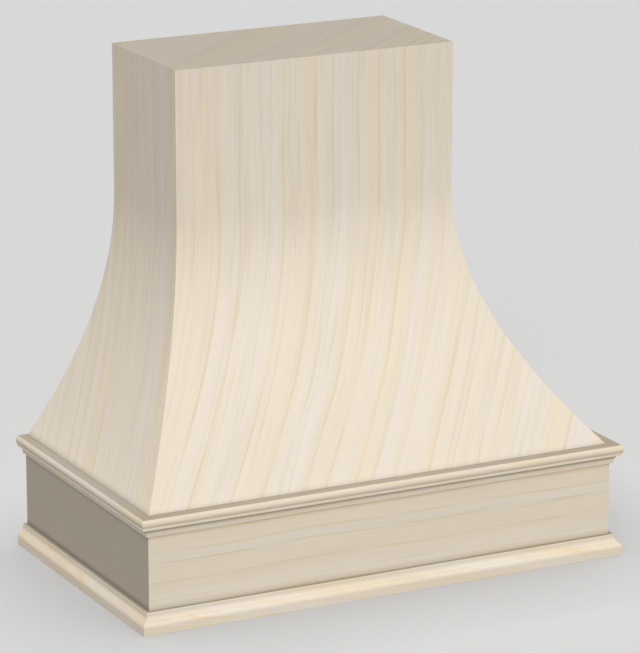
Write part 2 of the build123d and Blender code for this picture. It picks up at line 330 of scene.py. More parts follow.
@dataclass(frozen=True)
class Wood(Finish):
    """A sanded, unfinished wood, with colours in sRGB and sizes in millimetres.

    Growth rings are sheets through the whole piece, so a line runs on over every edge that it
    meets, and a flared face cuts the same ring at a slant. A figured wood has two or three sets of
    rings that wander by themselves, so that its lines close up and part again along their length.
    """

    cool: str
    warm: str
    fibre: str
    ring: str
    ring_gap: float
    ring_width: float
    ring_fade: float
    band_gap: float
    fibre_gap: float
    fibre_length: float
    wander: float
    wander_length: float
    roughness: float = 0.8
    unevenness: float = 0.04  # how far the roughness strays to either side
    ring_sets: int = 1
    ring_scatter: float = 0.8
    fine_share: float = 0.5
    faintest: float = 0.25
    ring_length: float = 150.0
    noise_span: float = 90.0  # ring lengths of noise in which each ring has its own place
    sets_apart: float = 20.0  # wander lengths between two sets, so that they have nothing in common
    # Painted shade: how far corners darken, how strongly walls and ledges darken, and a further
    # share for level faces.
    corner_shade_reach: float = 12.0
    wall_shade_power: float = 0.4
    ledge_shade_power: float = 1.2
    level_face_shade: float = 0.0
    ply: float = 0.0
    layers: int = 1
    ply_light: str = "#D9C4A0"
    ply_dark: str = "#B08F66"
    relief: float = 0.03  # sanding leaves the softer wood this much lower
    ledge_from: float = 0.8  # the least upward part of a level face's normal

    def surface(self, tree: Tree) -> Node:
        """Lay bands, fibres, rings, plies and painted corner shade over one another.

        Args:
            tree: the material's tree.

        Returns:
            The shader.
        """
        grain = add(tree, "ShaderNodeAttribute", attribute_name="grain").outputs["Vector"]
        along, _, aside = add(tree, SPLIT, (grain,)).outputs
        across = self.wandering(tree, grain, 0)
        line = self.rings(tree, along, across, 1.0)
        for number in range(1, self.ring_sets):
            other = self.rings(tree, along, self.wandering(tree, grain, number), self.fine_share)
            line = add(tree, MATH, (line, other), operation="MAXIMUM")
        fibres = self.fibres(tree, along, across, aside)

        # Broad bands of cooler and warmer wood lie under the fibres, and the rings over them.
        broad = {"W": across, "Scale": 1 / self.band_gap, "Detail": 1.5}
        bands = add(tree, NOISE, broad, noise_dimensions="1D")
        warmth = add(tree, MAP, (bands, 0.32, 0.68))
        colour = linear(self.cool)
        for share, over in ((warmth, self.warm), (fibres, self.fibre), (line, self.ring)):
            layer = {0: share, 6: colour, 7: linear(over)}
            colour = add(tree, MIX, layer, data_type="RGBA").outputs[2]
        if self.ply:
            colour = self.plies(tree, colour)
        # Painted shade: the colour darkens in inner corners and on level faces.
        colour = self.joints(tree, colour)

        gloss = (self.roughness - self.unevenness, self.roughness + self.unevenness)
        rough = add(tree, MAP, (fibres, 0, 1, *gloss))
        soft = add(tree, MATH, (fibres, line), operation="ADD")
        sunk = {"Height": soft, "Distance": self.relief * MM, "Strength": 0.5}
        bump = add(tree, "ShaderNodeBump", sunk, invert=True)
        # Bare sanded wood scatters nearly all its light, so it has next to no specular part.
        bare = {"IOR": 1.5, "Specular IOR Level": 0.05}
        looks = {"Base Color": colour, "Roughness": rough, "Normal": bump, **bare}
        return add(tree, "ShaderNodeBsdfPrincipled", looks)

    def wandering(self, tree: Tree, grain: Socket, number: int) -> Node:
        """Let one set of rings wander slowly, as they do in a trunk.

        Args:
            tree: the material's tree.
            grain: how far the point is along the fibres, across the rings and aside.
            number: which set it is.

        Returns:
            How far the point is across the rings as they wander.
        """
        apart = self.sets_apart * self.wander_length * number
        elsewhere = add(tree, "ShaderNodeMapping", {"Vector": grain, "Location": (0, 0, apart)})
        pace = 1 / self.wander_length
        slow = {"Vector": elsewhere, "Scale": pace, "Detail": 2.0, "Roughness": 0.35}
        drift = (add(tree, NOISE, slow), 0.2, 0.8, apart - self.wander, apart + self.wander)
        moved = add(tree, MAP, drift, clamp=False)
        across = add(tree, SPLIT, (grain,)).outputs["Y"]
        return add(tree, MATH, (across, moved), operation="ADD")

    def rings(self, tree: Tree, along: Socket, across: Node, size: float) -> Node:
        """Draw the latewood: dark lines, some stronger than others, that come and go lengthwise.

        Args:
            tree: the material's tree.
            along: how far the point is along the fibres.
            across: how far it is across the rings as they wander.
            size: how broad and strong the lines are, beside a main ring.

        Returns:
            The share of the latewood's colour.
        """
        count = add(tree, MATH, (across, self.ring_gap), operation="DIVIDE")
        strewn = {"W": count, "Scale": 1.0, "Randomness": self.ring_scatter}
        cell = add(tree, "ShaderNodeTexVoronoi", strewn, voronoi_dimensions="1D").outputs
        shift = add(tree, MATH, (count, cell["W"]), operation="SUBTRACT")
        past = add(tree, MATH, (shift, self.ring_gap), operation="MULTIPLY")
        off = add(tree, MATH, (past,), operation="ABSOLUTE")
        width = self.ring_width * size
        core = add(tree, MAP, (off, 0.1 * width, width, size, 0), interpolation_type="SMOOTHSTEP")
        # The wood darkens slowly towards a line, to 0.3 of it, and is clear straight after it.
        fade = add(tree, MAP, (past, -self.ring_fade, 0, 0, 0.3 * size))
        before = add(tree, MATH, (past, 0.0), operation="LESS_THAN")
        early = add(tree, MATH, (fade, before), operation="MULTIPLY")
        line = add(tree, MATH, (core, early), operation="MAXIMUM")

        # Each line has its own weight, and its own place in the noise that fades it lengthwise.
        chance = add(tree, "ShaderNodeSeparateColor", (cell["Color"],)).outputs
        weight = add(tree, MAP, (chance[0], 0, 0.8, self.faintest))
        own = add(tree, MATH, (chance[1], self.noise_span * self.ring_length), operation="MULTIPLY")
        lengthwise = add(tree, MATH, (along, own), operation="ADD")
        slow = {"W": lengthwise, "Scale": 1 / self.ring_length, "Detail": 1.0}
        growth = add(tree, NOISE, slow, noise_dimensions="1D")
        strength = add(tree, MAP, (growth, 0.35, 0.6, self.faintest))
        share = add(tree, MATH, (weight, strength), operation="MULTIPLY")
        return add(tree, MATH, (line, share), operation="MULTIPLY")

    def fibres(self, tree: Tree, along: Socket, across: Node, aside: Socket) -> Node:
        """Draw the fine fibres, some four times as coarse as they are so that they show.

        Args:
            tree: the material's tree.
            along: how far the point is along the fibres.
            across: how far it is across the rings as they wander.
            aside: how far it is aside.

        Returns:
            The share of the fibres' darker colour.
        """
        spot = add(tree, JOIN, (along, across, aside))
        scale = (1 / self.fibre_length, 1 / self.fibre_gap, 0.5 / self.fibre_length)
        scaled = add(tree, "ShaderNodeMapping", {"Vector": spot, "Scale": scale})
        noise = add(tree, NOISE, {"Vector": scaled, "Scale": 1.0, "Detail": 3.0, "Roughness": 0.65})
        streaks = add(tree, MAP, (noise, 0.42, 0.72))
        # They show in some places and hardly in others, some ten fibres across.
        broad = add(tree, "ShaderNodeMapping", {"Vector": scaled, "Scale": (1, 0.1, 1)})
        patches = add(tree, NOISE, {"Vector": broad, "Scale": 1.0, "Detail": 1.0})
        shown = add(tree, MAP, (patches, 0.4, 0.65, 0.15))
        return add(tree, MATH, (streaks, shown), operation="MULTIPLY")

    def plies(self, tree: Tree, face: Socket) -> Socket:
        """Show the plies of plywood wherever its edge is cut, between the veneers of its two faces.

        Args:
            tree: the material's tree.
            face: the colour of the face veneers.

        Returns:
            The colour with plies below the face.
        """
        depth = add(tree, "ShaderNodeAttribute", attribute_name="ply").outputs["Fac"]
        turn = add(tree, MATH, (depth, math.pi / self.ply), operation="MULTIPLY")
        wave = add(tree, MATH, (turn,), operation="SINE")
        share = add(tree, MAP, (wave, -0.3, 0.3))
        layer = {0: share, 6: linear(self.ply_light), 7: linear(self.ply_dark)}
        edge = add(tree, MIX, layer, data_type="RGBA").outputs[2]
        beyond = add(tree, MATH, (self.ply * self.layers, depth), operation="SUBTRACT")
        nearest = add(tree, MATH, (depth, beyond), operation="MINIMUM")
        # The face veneers are some 0.3 mm thick, and the first ply shows through their edge softly.
        inside = add(tree, MAP, (nearest, 0.15, 0.5))
        return add(tree, MIX, {0: inside, 6: face, 7: edge}, data_type="RGBA").outputs[2]

    def joints(self, tree: Tree, face: Socket) -> Socket:
        """Paint shade into the wood's colour: darker in inner corners and on faces that face up.

        Args:
            tree: the material's tree.
            face: the colour of the open wood.

        Returns:
            The colour with painted shade in corners and on ledges.
        """
        # Painted shade: ambient occlusion darkens inner corners, and level faces darken by a
        # further share.
        reach = {"Distance": self.corner_shade_reach * MM}
        near = add(tree, "ShaderNodeAmbientOcclusion", reach, samples=AO_SAMPLES)
        normal = add(tree, "ShaderNodeNewGeometry").outputs["Normal"]
        level = (add(tree, SPLIT, (normal,)).outputs["Z"], self.ledge_from, 1)
        depth = add(tree, MAP, (*level, self.wall_shade_power, self.ledge_shade_power))
        level_shade_factor = add(tree, MAP, (*level, 1, 1 - self.level_face_shade))
        dull = add(tree, MATH, (near.outputs["AO"], depth), operation="POWER")
        both = add(tree, MATH, (dull, level_shade_factor), operation="MULTIPLY")
        layer = {0: 1.0, 6: face, 7: both}
        return add(tree, MIX, layer, data_type="RGBA", blend_type="MULTIPLY").outputs[2]


@dataclass(frozen=True)
class ZincSteel(Finish):
    """Bright zinc on cold-formed steel: a pale, faintly blue metal with a fine dull mottle."""

    name: str = "zinc_plated_steel"
    slot: str = "screw_steel"
    bright: str = "#C9CACB"
    dull: str = "#AFAEA6"
    mottle: float = 1.2

    def surface(self, tree: Tree) -> Node:
        """Mottle the zinc's colour and gloss.

        Args:
            tree: the material's tree.

        Returns:
            The shader.
        """
        spot = add(tree, "ShaderNodeTexCoord").outputs["Object"]
        spots = add(tree, NOISE, {"Vector": spot, "Scale": 1 / (self.mottle * MM), "Detail": 2.0})
        layer = {0: spots, 6: linear(self.bright), 7: linear(self.dull)}
        colour = add(tree, MIX, layer, data_type="RGBA").outputs[2]
        rough = add(tree, MAP, (spots, 0, 1, 0.22, 0.42))
        looks = {"Base Color": colour, "Roughness": rough, "Metallic": 1.0}
        return add(tree, "ShaderNodeBsdfPrincipled", looks)


# Pale maple veneer, sliced and sanded: cream, with honey-coloured latewood lines some 30 mm apart.
SHEET_MAPLE = Wood(
    name="maple_veneer_sanded", slot="maple_veneer",
    cool="#DDD4C9", warm="#DFD2BC", fibre="#D3C8B7", ring="#D4C6AD",
    ring_gap=30.0, ring_width=3.2, ring_fade=9.0, ring_sets=3, ring_length=220.0, fine_share=0.65,
    faintest=0.3, band_gap=42.0, fibre_gap=2.4, fibre_length=170.0, wander=7.0, wander_length=420.0,
    corner_shade_reach=14.0, wall_shade_power=1.65, level_face_shade=0.08, ply=1.27, layers=5,
)
# The same maple as solid boards and mouldings, sawn flat: the lines run with the length.
SOLID_MAPLE = Wood(
    name="maple_solid_sanded", slot="maple_solid",
    cool="#DDD3C5", warm="#DDCFB7", fibre="#D5C9B6", ring="#D2C29F",
    ring_gap=27.0, ring_width=2.3, ring_fade=5.0, ring_sets=2, fine_share=0.6, band_gap=34.0,
    fibre_gap=2.2, fibre_length=240.0, wander=5.0, wander_length=300.0, wall_shade_power=0.65,
)
# Mouldings milled from it: the knives cut slightly across the grain, and their ledges get stronger
# painted shade.
MOULDING_MAPLE = replace(
    SOLID_MAPLE, name="maple_moulding_milled",
    cool="#DED4C6", warm="#DED0B8", ring="#DDC9A4", ring_gap=22.0, ring_length=90.0,
    corner_shade_reach=15.0, wall_shade_power=0.35, ledge_shade_power=0.9, level_face_shade=0.28,
)
# Plain maple without figure, greyer and darker, laid on the apron's side boards.
PLAIN_MAPLE = Wood(
    name="maple_plain_sanded", slot="maple_plain",
    cool="#B6AC9E", warm="#B5AA9C", fibre="#B3A99B", ring="#B2A798",
    ring_gap=30.0, ring_width=2.0, ring_fade=6.0, band_gap=40.0, fibre_gap=2.4,
    fibre_length=200.0, wander=8.0, wander_length=300.0, wall_shade_power=1.2,
)
# Sanded birch plywood: pale straw faces, and light and dark plies in turn at the edges.
BIRCH_PLYWOOD = Wood(
    name="birch_plywood_sanded", slot="birch_plywood",
    cool="#D6C4A2", warm="#D2BC95", fibre="#C8B088", ring="#BFA67C",
    ring_gap=34.0, ring_width=3.0, ring_fade=10.0, band_gap=40.0, fibre_gap=2.6,
    fibre_length=120.0, wander=20.0, wander_length=200.0,
    ply=1.4654, layers=13, ply_light="#D8C297", ply_dark="#A5845A",
)
# Planed pine: straw with broad orange latewood lines.
PINE = Wood(
    name="pine_planed", slot="pine",
    cool="#E0C898", warm="#DDBF88", fibre="#D3B47C", ring="#B98D54",
    ring_gap=6.5, ring_width=1.1, ring_fade=3.6, band_gap=30.0, fibre_gap=1.8,
    fibre_length=110.0, wander=9.0, wander_length=220.0, roughness=0.75,
)
SCREW_STEEL = ZincSteel()


# --- Pieces of the cover ---------------------------------------------------------------------


@dataclass
class Piece:
    """What every sub-assembly does with a finished mesh."""

    def hand_over(self, mesh: Mesh, node: str, finish: Finish) -> None:
        """Make a mesh the piece that stands for a node of the frame.

        Args:
            mesh: the finished mesh, in place and in metres.
            node: the node that it replaces.
            finish: its finish.
        """
        mesh.materials.clear()
        mesh.materials.append(finish.material())
        suffix = "steel" if isinstance(finish, ZincSteel) else "wood"
        piece = put(f"{node}_{suffix}", mesh)
        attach(piece, BODY)
        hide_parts(node)
        LOG.info("%s: %d faces in %s", piece.name, len(mesh.polygons), finish.name)


@dataclass
class Shell(Piece):
    """The sizes that the flared body and its mouldings share."""

    chimney_half: float = 274.25
    chimney_depth: float = 266.7
    apron_half: float = 457.2
    apron_depth: float = 533.4
    foot: float = 201.6
    spring: float = 644.8

    def reaches(self, side: Side) -> tuple[float, float]:
        """Give how far a side's sheet stands out above the spring line and at its foot."""
        if side is Side.FRONT:
            return self.chimney_depth, self.apron_depth
        return self.chimney_half, self.apron_half

    def flare(self, side: Side) -> float:
        """Give how far a side's sheet flares out in all."""
        reach, foot_reach = self.reaches(side)
        return foot_reach - reach

    def hip(self, side: Side) -> float:
        """Give how far a hip runs along a side's sheet for each millimetre that it runs out."""
        return self.flare(Side.LEFT if side is Side.FRONT else Side.FRONT) / self.flare(side)


@dataclass
class FlaredBody(Shell):
    """The bent sheets of the chimney and its flare, and the sheet that closes the top."""

    top: float = 914.4
    skin: float = 6.35
    rows: int = 56
    ring_turn: float = -49.6  # degrees from the right to the way across the rings, seen from above
    front_slant: float = 0.76  # how much a line slants on the flare, beside one sawn from a block
    side_slant: float = 1.5

    def rule(self) -> Tree:
        """Build the tree of a flared sheet: a parabola up to the spring line, then upright.

        Returns:
            The tree. It gives a sheet with X outwards, Y along and Z up.
        """
        lengths = ("Top reach", "Foot reach", "Skin", "Foot thickness", "Foot height")
        lengths += ("Spring height", "Top height", "Corner", "Hip slope", "Near end")
        sockets = {"Rows": "Int", **dict.fromkeys(lengths, "Float"), "Material": "Material"}
        tree, given = new_geometry_tree("flared_sheet", sockets)
        levels = add(tree, MATH, (given.outputs["Rows"], 2), operation="ADD")
        counts = {"Vertices X": 2, "Vertices Y": 5, "Vertices Z": levels}
        block = add(tree, "GeometryNodeMeshCube", counts)
        corner = add(tree, SPLIT, (add(tree, "GeometryNodeInputPosition"),))

        # Each line is one sum of numbers, inputs, a corner's place and the sums before it.
        sums = """
            depth = 0.5 - X
            along = 0.5 + Y
            level = 0.5 + Z
            steps = Rows + 1
            row = level * steps
            share = row / Rows
            climb = share min 1
            over = row - Rows
            above = over max 0
            inset = depth * Skin
            flare height = Spring height - Foot height
            climbed = climb * flare height
            flare level = Foot height + climbed
            sheet top = Top height - inset
            straight = sheet top - Spring height
            risen = above * straight
            height = flare level + risen
            left to climb = 1 - climb
            bend = left to climb ** 2
            extra thickness = Foot thickness - Skin
            spare = depth * extra thickness
            flare = Foot reach - Top reach
            spread = flare - spare
            bent out = bend * spread
            straight reach = Top reach - inset
            reach = straight reach + bent out
            out = reach - Top reach
            hip = out * Hip slope
            end = Corner + hip
            start = Near end * end
            width = end - start
            across = along * width
            aside = start + across
        """
        known = {socket.name: socket for node in (given, corner) for socket in node.outputs}
        for line in sums.strip().splitlines():
            words = re.fullmatch(r" *(.+) = (.+) ([-+*/]+|min|max) (.+)", line)
            name, first, sign, second = words.groups()
            terms = tuple(known[term] if term in known else float(term) for term in (first, second))
            known[name] = add(tree, MATH, terms, operation=OPERATIONS[sign])
        spot = add(tree, JOIN, (known["reach"], known["aside"], known["height"]))
        plies = {"Geometry": block, "Name": "ply", "Value": known["inset"]}
        layered = add(tree, "GeometryNodeStoreNamedAttribute", plies)
        bent = add(tree, "GeometryNodeSetPosition", {"Geometry": layered, "Position": spot})
        close_tree(tree, bent, given.outputs["Material"])
        return tree

    def sheet(self, tree: Tree, side: Side, node: str) -> None:
        """Bend one sheet, mitre it along its hips and lay it in place.

        Args:
            tree: the rule of a flared sheet.
            side: the side that it covers.
            node: the node that it replaces.
        """
        front = side is Side.FRONT
        reach, foot_reach = self.reaches(side)
        slope = 2 * (foot_reach - reach) / (self.spring - self.foot)
        values = {
            "Rows": self.rows,
            "Top reach": reach,
            "Foot reach": foot_reach,
            "Skin": self.skin,
            "Foot thickness": self.skin * math.hypot(1, slope),
            "Foot height": self.foot,
            "Spring height": self.spring,
            "Top height": self.top,
            "Corner": self.chimney_half if front else self.chimney_depth,
            "Hip slope": self.hip(side),
            "Near end": -1.0 if front else 0.0,
            "Material": SHEET_MAPLE.material(),
        }
        mesh = grow(node, tree, values)
        place(mesh, (Vector(side.value[0]), Vector((1, 0, 0)) if front else Vector((0, -1, 0)), UP))
        close_up(mesh)
        flat = points_of(mesh)
        axis, slant = (1, self.front_slant) if front else (0, self.side_slant)
        bent_out = (np.abs(flat[:, axis]) - reach).clip(0)
        flat[:, axis] += np.sign(flat[:, axis]) * (slant - 1) * bent_out
        lay_grain(mesh, UP, self.across_rings(), points=flat)
        self.hand_over(mesh, node, SHEET_MAPLE)

    def across_rings(self) -> Vector:
        """Give the level way from one growth ring to the next."""
        turn = math.radians(self.ring_turn)
        return Vector((math.cos(turn), math.sin(turn), 0))

    def build(self) -> None:
        """Build the three bent sheets and the top."""
        tree = self.rule()
        self.sheet(tree, Side.FRONT, "front_panel")
        self.sheet(tree, Side.LEFT, "left_side_panel")
        self.sheet(tree, Side.RIGHT, "right_side_panel")
        top = Boards.merged("top_panel")
        lay_grain(top, UP, self.across_rings())
        mark(top, "ply", self.top - points_of(top)[:, 2])
        self.hand_over(top, "top_panel", SHEET_MAPLE)


@dataclass
class Mouldings(Shell):
    """The mouldings at the apron's top and round its foot, each a mitred run on three sides."""

    upper_bottom: float = 173.3
    upper_height: float = 34.3
    projection: float = 19.05
    foot_width: float = 5.5
    lip_width: float = 6.1
    lip_height: float = 5.0
    cove: float = 10.4
    fillet_height: float = 5.3
    bead_start: float = 17.1
    nose_drop: float = 7.4
    upper_top_width: float = 15.3
    base_height: float = 38.1
    nose_height: float = 14.0
    ogee_height: float = 18.5
    base_top_width: float = 8.3
    easing: float = 0.6
    arc_steps: int = 12
    grain_slope: float = 0.1
    grain_tilt: float = 0.6
    cut_apart: float = 700.0  # how far along the tree one run was cut from the next

    def arc(self, start: Vector, end: Vector, tangent: Vector) -> list[Vector]:
        """Give the points of an arc after its start.

        Args:
            start: where it starts.
            end: where it ends.
            tangent: the way it leaves its start.

        Returns:
            The points, the end among them.
        """
        chord = end - start
        normal = Vector((-tangent.y, tangent.x)).normalized()
        radius = chord.length_squared / (2 * chord.dot(normal))
        centre = start + normal * radius
        first, last = start - centre, end - centre
        sweep = math.atan2(first.x * last.y - first.y * last.x, first.dot(last))
        if sweep * radius < 0:
            sweep += math.copysign(2 * math.pi, radius)
        turns = [sweep * (i + 1) / self.arc_steps for i in range(self.arc_steps)]
        return [centre + Matrix.Rotation(turn, 2) @ first for turn in turns]

    def upper_outline(self, flare: float) -> list[Vector]:
        """Draw foot, lip, cove, fillet, bead and bevelled back, outward way first and up second.

        Args:
            flare: how far the sheet behind it flares out in all.

        Returns:
            The outline's points, against the clock.
        """
        bottom = self.upper_bottom
        top = bottom + self.upper_height
        lip = Vector((self.lip_width, bottom + self.lip_height))
        cove_end = lip + Vector((self.cove, self.cove))
        bead_foot = cove_end.y + self.fillet_height
        nose = Vector((self.projection, top - self.nose_drop))
        bead_low = Vector((self.bead_start, bead_foot))
        points = [Vector((0, bottom)), Vector((self.foot_width, bottom)), lip]
        points += self.arc(lip, cove_end, Vector((0, 1)))
        points += [Vector((cove_end.x, bead_foot)), bead_low]
        under = self.arc(nose, bead_low, Vector((0, -1)))
        points += under[-2::-1] + [nose]
        points += self.arc(nose, Vector((self.upper_top_width, top)), Vector((0, 1)))
        left_to_climb = (self.spring - top) / (self.spring - self.foot)
        back = flare * (1 - left_to_climb**2)
        return points + [Vector((-back, top)), Vector((0, self.foot))]

    def base_outline(self) -> list[Vector]:
        """Draw nose, ogee and fillet, with the outward way first and up second.

        Returns:
            The outline's points, against the clock.
        """
        out, back, ease = self.projection, self.base_top_width, self.easing
        nose = Vector((out, self.nose_height))
        turn = Vector((out - (out - back) / 2, self.nose_height + self.ogee_height / 2))
        ogee_top = Vector((back, self.nose_height + self.ogee_height))
        points = [Vector((0, 0)), Vector((out - ease / 2, 0)), Vector((out, ease / 2)), nose]
        points += self.arc(nose, turn, Vector((0, 1)))
        hollow = self.arc(ogee_top, turn, Vector((0, -1)))
        points += hollow[-2::-1] + [ogee_top, Vector((back, self.base_height - ease))]
        return points + [Vector((back - ease, self.base_height)), Vector((0, self.base_height))]

    def rule(self) -> Tree:
        """Build the tree of a mitred run: a section swept straight along and cut at its ends.

        Returns:
            The tree. A mitre of one sends an end out as far as the section stands out, and the
            hip mitre draws it in along the hip where the section reaches behind the apron's face.
        """
        numbers = dict.fromkeys(("Length", "Start mitre", "End mitre", "Hip mitre"), "Float")
        sockets = {"Section": "Geometry", **numbers, "Material": "Material"}
        tree, given = new_geometry_tree("mitred_run", sockets)
        size = given.outputs
        end = add(tree, JOIN, {"Z": size["Length"]})
        path = add(tree, "GeometryNodeCurvePrimitiveLine", {"End": end})
        section = add(tree, "GeometryNodeMeshToCurve", {"Mesh": size["Section"]})
        ends = {"Curve": path, "Profile Curve": section, "Fill Caps": True}
        swept = add(tree, "GeometryNodeCurveToMesh", ends)
        corner = add(tree, SPLIT, (add(tree, "GeometryNodeInputPosition"),)).outputs
        share = add(tree, MATH, (corner["Z"], size["Length"]), operation="DIVIDE")
        back = add(tree, MATH, (size["Start mitre"], -1), operation="MULTIPLY")
        cut = add(tree, MIX, {0: share, 2: back, 3: size["End mitre"]}, data_type="FLOAT")
        ahead = add(tree, MATH, (corner["X"], 0), operation="MAXIMUM")
        behind = add(tree, MATH, (corner["X"], 0), operation="MINIMUM")
        out = add(tree, MATH, (behind, size["Hip mitre"], ahead), operation="MULTIPLY_ADD")
        slide = add(tree, MATH, (cut, out), operation="MULTIPLY")
        offset = add(tree, JOIN, {"Z": slide})
        mitred = add(tree, "GeometryNodeSetPosition", {"Geometry": swept, "Offset": offset})
        close_tree(tree, mitred, size["Material"])
        return tree

    def run(self, tree: Tree, outline: list[Vector], side: Side, node: str, shift: float) -> None:
        """Run one moulding along one side of the apron.

        Args:
            tree: the rule of a mitred run.
            outline: its section.
            side: the side that it runs along.
            node: the node that it replaces.
            shift: where in the tree it was cut.
        """
        base = bpy.data.meshes.new(node + "_section")
        edges = [(i, (i + 1) % len(outline)) for i in range(len(outline))]
        base.from_pydata([(*point, 0) for point in outline], edges, [])
        starts = {
            Side.FRONT: (self.apron_half, -self.apron_depth, 0),
            Side.RIGHT: (self.apron_half, 0, 0),
            Side.LEFT: (-self.apron_half, -self.apron_depth, 0),
        }
        values = {
            "Length": 2 * self.apron_half if side is Side.FRONT else self.apron_depth,
            "Start mitre": 0.0 if side is Side.RIGHT else 1.0,
            "End mitre": 0.0 if side is Side.LEFT else 1.0,
            "Hip mitre": self.hip(side),
            "Material": MOULDING_MAPLE.material(),
        }
        mesh = grow(node, tree, values, base)
        outward, along = (Vector(axis) for axis in side.value)
        place(mesh, (outward, UP, along), starts[side])
        close_up(mesh)
        rings = (UP + self.grain_tilt * outward - self.grain_slope * along).normalized()
        fibres = (along - along.dot(rings) * rings).normalized()
        lay_grain(mesh, fibres, rings, (shift, shift / 3, 0))
        self.hand_over(mesh, node, MOULDING_MAPLE)

    def build(self) -> None:
        """Build the six runs."""
        tree = self.rule()
        for i, side in enumerate(Side):
            name = side.name.lower()
            upper, base = self.upper_outline(self.flare(side)), self.base_outline()
            self.run(tree, upper, side, name + "_upper_moulding", self.cut_apart * (i + 1))
            self.run(tree, base, side, name + "_base_moulding", self.cut_apart * (i + 4))


@dataclass
class Boards(Piece):
    """Apron, ribs, deck, posts, rails, ledgers and blocks, with their arrises eased."""

    easing: float = 0.8
    eased_below: float = 20.0  # degrees, so that an eased arris still shows as an edge
    shortest: float = 12.0  # an arris shorter than this, such as a hole's rim, stays sharp
    square: float = 60.0  # faces that meet at more degrees than this form an arris
    mitre: tuple[float, float] = (0.2, 0.98)  # a face whose normal is this far aside is a mitre's
    cut_apart: tuple[float, ...] = (173.0, 61.0, 37.0)  # from one board to the next, in the tree

    @staticmethod
    def merged(node: str) -> Mesh:
        """Copy a node's mesh with its doubles merged and its flat faces whole.

        Args:
            node: the node.

        Returns:
            The copy.
        """
        work = bmesh.new()
        work.from_mesh(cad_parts[node].data)
        bmesh.ops.remove_doubles(work, verts=work.verts, dist=DOUBLES)
        half_degree = {"angle_limit": math.radians(0.5), "use_dissolve_boundaries": False}
        bmesh.ops.dissolve_limit(work, verts=work.verts, edges=work.edges, **half_degree)
        mesh = bpy.data.meshes.new(node)
        work.to_mesh(mesh)
        work.free()
        shade(mesh, SMOOTH_BELOW)
        return mesh

    def eased(self, node: str) -> Mesh:
        """Copy a board and ease its long arrises, but not those of a mitre.

        Args:
            node: the node.

        Returns:
            The eased copy.
        """
        mesh = self.merged(node)
        work = bmesh.new()
        work.from_mesh(mesh)
        least, most = self.mitre
        arrises = [
            edge
            for edge in work.edges
            if len(edge.link_faces) == 2
            and edge.calc_length() > self.shortest * MM
            and edge.calc_face_angle() > math.radians(self.square)
            and not any(least < abs(face.normal.x) < most for face in edge.link_faces)
        ]
        round_off = {"offset": self.easing * MM, "segments": 2, "profile": 0.5}
        bmesh.ops.bevel(work, geom=arrises, affect="EDGES", clamp_overlap=False, **round_off)
        work.to_mesh(mesh)
        work.free()
        shade(mesh, self.eased_below)
        return mesh

    def board(self, node: str, finish: Wood, fibres: Way, rings: Way, number: int) -> None:
        """Finish one board of the frame.

        Args:
            node: the node.
            finish: its wood.
            fibres: the way its fibres run.
            rings: the way across its growth rings.
            number: which board it is, so that no two have the same figure.
        """
        # The sheets lie on the ribs' edges, so those stay sharp.
        mesh = self.merged(node) if node.endswith("_rib") else self.eased(node)
        shift = tuple(number * step for step in self.cut_apart)
        lay_grain(mesh, Vector(fibres.value), Vector(rings.value), shift)
        if finish.ply:
            self.mark_plies(mesh)
        self.hand_over(mesh, node, finish)

    @staticmethod
    def mark_plies(mesh: Mesh) -> None:
        """Keep how deep each point of a plywood board lies under its first face.

        Args:
            mesh: the board's mesh, which is thinnest through its plies.
        """
        points = points_of(mesh)
        centred = points - points.mean(0)
        level = np.linspace(0, math.pi, 361)[:-1]  # half a degree apart
        ways = [np.array([math.cos(turn), math.sin(turn), 0]) for turn in level] + [np.array(UP)]
        depth = centred @ min(ways, key=lambda way: np.ptp(centred @ way))
        mark(mesh, "ply", depth - depth.min())

    def build(self) -> None:
        """Finish every board of the frame."""
        # A name that begins with _ stands for the left board and the right one.
        plans: tuple[tuple[str, Wood, Way, Way], ...] = (
            ("front_apron", SOLID_MAPLE, Way.RIGHT, Way.UP),
            ("_apron", PLAIN_MAPLE, Way.BACK, Way.UP),
            ("centre_rib _front_rib _hip_rib", BIRCH_PLYWOOD, Way.UP, Way.BACK),
            ("_side_rib _rear_rib", BIRCH_PLYWOOD, Way.UP, Way.RIGHT),
            ("front_deck_board back_deck_board", BIRCH_PLYWOOD, Way.RIGHT, Way.BACK),
            ("_deck_board", BIRCH_PLYWOOD, Way.BACK, Way.RIGHT),
            ("_front_post _rear_post", PINE, Way.UP, Way.RIGHT),
            ("front_spring_rail back_spring_rail", PINE, Way.RIGHT, Way.UP),
            ("front_top_rail hanging_rail", PINE, Way.RIGHT, Way.UP),
            ("_spring_rail _top_rail", PINE, Way.BACK, Way.UP),
            ("apron_back_rail front_ledger back_ledger", PINE, Way.RIGHT, Way.UP),
            ("_ledger", PINE, Way.BACK, Way.UP),
            ("_front_corner_block _rear_corner_block", PINE, Way.UP, Way.RIGHT),
        )
        number = 1
        for names, finish, fibres, rings in plans:
            for name in names.split():
                for node in ("left" + name, "right" + name) if name[0] == "_" else (name,):
                    self.board(node, finish, fibres, rings, number)
                    number += 1


